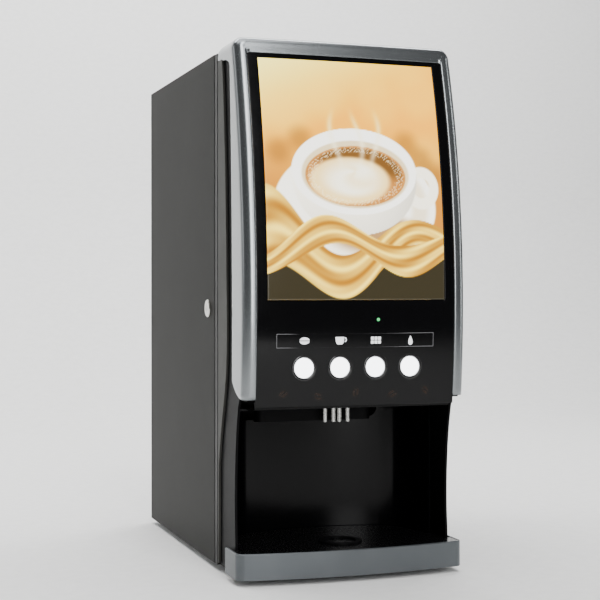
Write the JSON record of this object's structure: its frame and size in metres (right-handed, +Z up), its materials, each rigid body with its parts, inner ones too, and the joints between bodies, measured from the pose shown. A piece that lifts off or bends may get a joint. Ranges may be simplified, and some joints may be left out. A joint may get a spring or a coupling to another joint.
{
  "type": "hot drink vending machine",
  "caption": "Counter-top vending machine that mixes hot drinks from powder, with a full-height curved door, lit picture, lit buttons, cup bay, sliding drip tray and full inner works.",
  "frame": {"origin": "on the standing surface, under the middle of the machine's overall box", "axes": "+Z up, door faces -Y, +X to the right of someone facing the door, where the door hinges are"},
  "size_m": [0.307, 0.5384, 0.69],
  "materials": {
    "dark_powder_coat": "fine-textured satin powder coat",
    "black_paint": "semi-matt stoved paint",
    "zinc_steel": "zinc-plated sheet",
    "stainless": "brushed stainless",
    "silver_paint": "metallic silver lacquer on moulded plastic",
    "grey_trim": "fine-textured grey moulding",
    "black_gloss": "polished black moulding",
    "black_matt": "matt black moulding",
    "picture_film": "back-lit film behind clear acrylic",
    "label_film": "printed film",
    "lit_white": "back-lit translucent cap",
    "lit_green": "lit indicator",
    "tray_grey": "satin grey lacquer",
    "white_plastic": "moulded white",
    "clear_plastic": "translucent food-grade moulding",
    "motor_metal": "plated motor cans",
    "valve_plastic": "dark moulded nylon",
    "silicone": "translucent silicone hose",
    "brass_fitting": "turned brass",
    "board_green": "solder-masked laminate",
    "foot_rubber": "moulded rubber"
  },
  "bodies": {
    "cabinet": {"side_panel_left": "dark_powder_coat", "side_panel_right": "dark_powder_coat", "top_panel": "dark_powder_coat", "back_panel": "zinc_steel", "base_plate": "zinc_steel", "front_frame": "black_paint", "hinge_brackets": "zinc_steel", "bulkhead": "zinc_steel", "canister_shelf": "zinc_steel", "canister_1": "clear_plastic", "canister_2": "clear_plastic", "canister_3": "clear_plastic", "canister_lids": "white_plastic", "powder_outlets": "white_plastic", "auger_motors": "motor_metal", "mixing_bowls": "white_plastic", "whipper_motors": "motor_metal", "nozzle_manifold": "black_matt", "nozzle_tubes": "stainless", "boiler_tank": "stainless", "boiler_lid": "stainless", "heating_element": "stainless", "water_valves": "valve_plastic", "water_pump": "valve_plastic", "water_hoses": "silicone", "inlet_fittings": "brass_fitting", "fan_housing": "black_matt", "control_board": "board_green", "power_supply": "motor_metal", "power_inlet": "black_matt", "feet": "foot_rubber", "panel_screws": "zinc_steel", "lock_barrel": "stainless"},
    "door": {"door_shell": "black_matt", "bay_liner": "black_gloss", "bezel": "silver_paint", "side_trims": "grey_trim", "front_panel": "black_gloss", "picture_pane": "picture_film", "light_box": "white_plastic", "label_strip": "label_film", "button_board": "black_matt", "status_led": "lit_green", "latch_hook": "zinc_steel"},
    "tray": {"drip_tray": "tray_grey"},
    "grid": {"drip_grid": "black_matt", "cup_rest": "black_matt"},
    "lock": {"lock_plug": "stainless"},
    "fan": {"fan_rotor": "black_matt"},
    "switch": {"power_switch": "black_matt"},
    "auger_1_body": {"auger_1": "white_plastic"},
    "whipper_1_body": {"whipper_1": "white_plastic"},
    "auger_2_body": {"auger_2": "white_plastic"},
    "whipper_2_body": {"whipper_2": "white_plastic"},
    "auger_3_body": {"auger_3": "white_plastic"},
    "whipper_3_body": {"whipper_3": "white_plastic"},
    "button_1_body": {"button_1": "lit_white"},
    "button_2_body": {"button_2": "lit_white"},
    "button_3_body": {"button_3": "lit_white"},
    "button_4_body": {"button_4": "lit_white"}
  },
  "joints": [
    {"name": "door_hinge", "type": "hinge", "parent": "cabinet", "child": "door", "pos_m": [0.142, -0.155, 0.34], "axis": [0, 0, 1], "range_deg": [0, 110]},
    {"name": "tray_slide", "type": "slide", "parent": "door", "child": "tray", "axis": [0, -1, 0], "range_m": [0, 0.15]},
    {"name": "grid_lift", "type": "slide", "parent": "tray", "child": "grid", "axis": [0, 0, 1], "range_m": [0, 0.03]},
    {"name": "lock_turn", "type": "hinge", "parent": "cabinet", "child": "lock", "pos_m": [-0.15, -0.102, 0.345], "axis": [-1, 0, 0], "range_deg": [0, 90]},
    {"name": "fan_spin", "type": "hinge", "parent": "cabinet", "child": "fan", "pos_m": [0.075, 0.239, 0.6], "axis": [0, 1, 0], "continuous": true},
    {"name": "switch_rock", "type": "hinge", "parent": "cabinet", "child": "switch", "pos_m": [0.1, 0.251, 0.095], "axis": [1, 0, 0], "range_deg": [-8, 8]},
    {"name": "auger_1_spin", "type": "hinge", "parent": "cabinet", "child": "auger_1_body", "pos_m": [-0.092, -0.005, 0.478], "axis": [0, 1, 0], "continuous": true},
    {"name": "whipper_1_spin", "type": "hinge", "parent": "cabinet", "child": "whipper_1_body", "pos_m": [-0.092, -0.065, 0.337], "axis": [0, 1, 0], "continuous": true},
    {"name": "auger_2_spin", "type": "hinge", "parent": "cabinet", "child": "auger_2_body", "pos_m": [0, -0.005, 0.478], "axis": [0, 1, 0], "continuous": true},
    {"name": "whipper_2_spin", "type": "hinge", "parent": "cabinet", "child": "whipper_2_body", "pos_m": [0, -0.065, 0.337], "axis": [0, 1, 0], "continuous": true},
    {"name": "auger_3_spin", "type": "hinge", "parent": "cabinet", "child": "auger_3_body", "pos_m": [0.092, -0.005, 0.478], "axis": [0, 1, 0], "continuous": true},
    {"name": "whipper_3_spin", "type": "hinge", "parent": "cabinet", "child": "whipper_3_body", "pos_m": [0.092, -0.065, 0.337], "axis": [0, 1, 0], "continuous": true},
    {"name": "button_1_press", "type": "slide", "parent": "door", "child": "button_1_body", "axis": [0, 1, 0], "range_m": [0, 0.0022], "stiffness_N_per_m": 900, "springref_m": -0.001},
    {"name": "button_2_press", "type": "slide", "parent": "door", "child": "button_2_body", "axis": [0, 1, 0], "range_m": [0, 0.0022], "stiffness_N_per_m": 900, "springref_m": -0.001},
    {"name": "button_3_press", "type": "slide", "parent": "door", "child": "button_3_body", "axis": [0, 1, 0], "range_m": [0, 0.0022], "stiffness_N_per_m": 900, "springref_m": -0.001},
    {"name": "button_4_press", "type": "slide", "parent": "door", "child": "button_4_body", "axis": [0, 1, 0], "range_m": [0, 0.0022], "stiffness_N_per_m": 900, "springref_m": -0.001}
  ]
}
